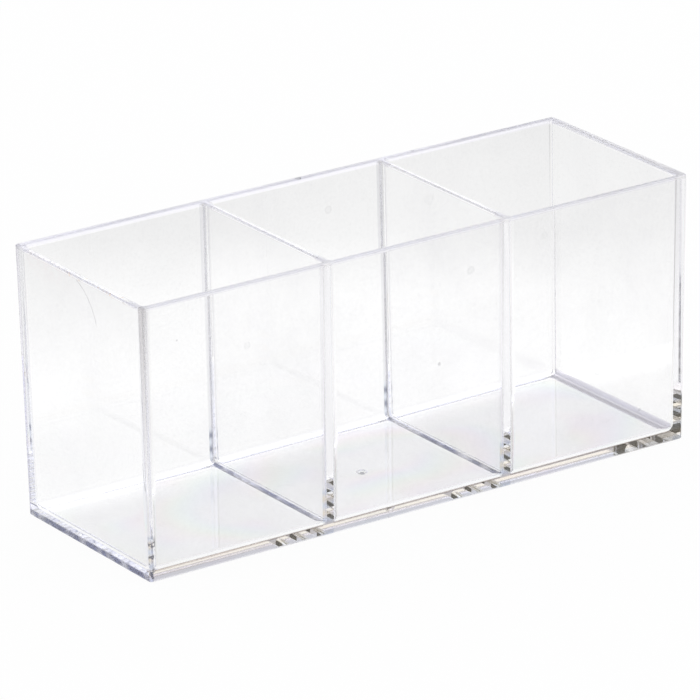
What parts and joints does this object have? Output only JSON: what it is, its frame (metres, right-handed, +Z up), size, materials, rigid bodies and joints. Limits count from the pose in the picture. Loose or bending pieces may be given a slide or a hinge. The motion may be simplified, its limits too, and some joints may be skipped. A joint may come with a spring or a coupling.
{
  "type": "makeup organizer",
  "caption": "Long open-topped clear box with equal compartments side by side, for standing make-up brushes, pencils and lipsticks in.",
  "frame": {"origin": "centre of the underside, on the surface that the box stands on", "axes": "+X along the length, from left to right seen from the front; +Y from the front to the back; +Z up, out of the open top"},
  "size_m": [0.24, 0.085, 0.105],
  "materials": {
    "clear_polystyrene": "clear, colourless and highly polished, with a faint haze"
  },
  "bodies": {
    "root": {"base_panel": "clear_polystyrene", "front_panel": "clear_polystyrene", "back_panel": "clear_polystyrene", "left_end_panel": "clear_polystyrene", "divider_1": "clear_polystyrene", "divider_2": "clear_polystyrene", "right_end_panel": "clear_polystyrene"}
  },
  "joints": []
}
